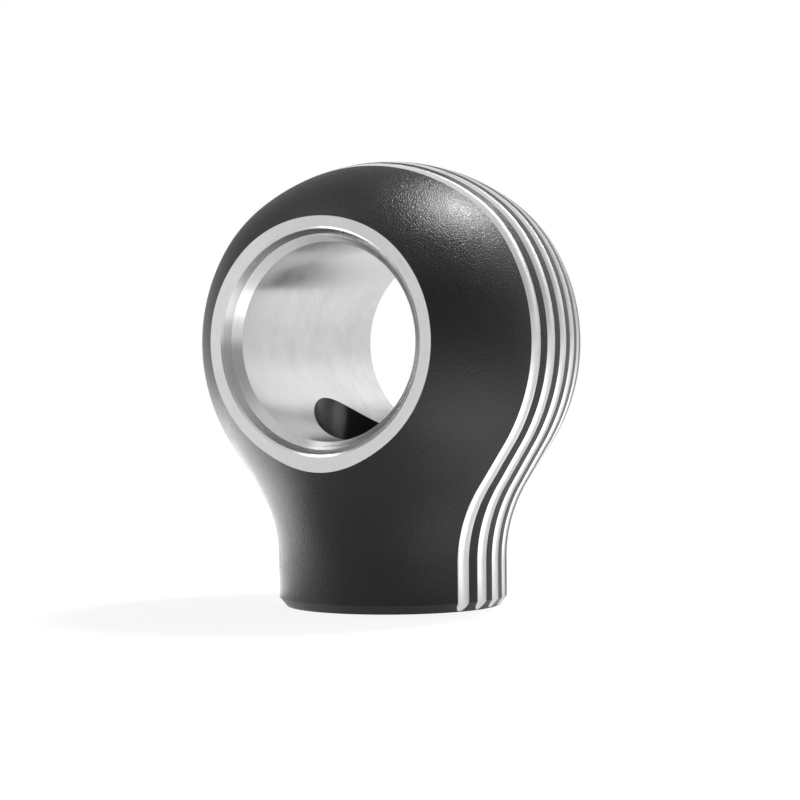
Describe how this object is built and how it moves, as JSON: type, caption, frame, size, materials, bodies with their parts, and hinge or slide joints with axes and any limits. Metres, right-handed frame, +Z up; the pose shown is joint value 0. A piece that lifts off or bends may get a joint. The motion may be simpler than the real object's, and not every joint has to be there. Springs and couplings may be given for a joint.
{
  "type": "gear shift knob",
  "caption": "Ball-headed gear shift knob on a short neck, with milled faces, a wide stepped cross bore, fine grooves over the head and an open lever socket from below.",
  "frame": {"origin": "centre of the base, on the neck's turning axis, where the knob rests", "axes": "+Z up along the neck's turning axis, Y along the cross bore with the front face at -Y, X across the grooves' run"},
  "size_m": [0.057, 0.0438, 0.0667],
  "materials": {
    "coated_body": "fine-textured satin black coat on aluminium; milled faces, cross bore and grooves bare"
  },
  "bodies": {
    "root": {"knob_body": "coated_body"}
  },
  "joints": []
}
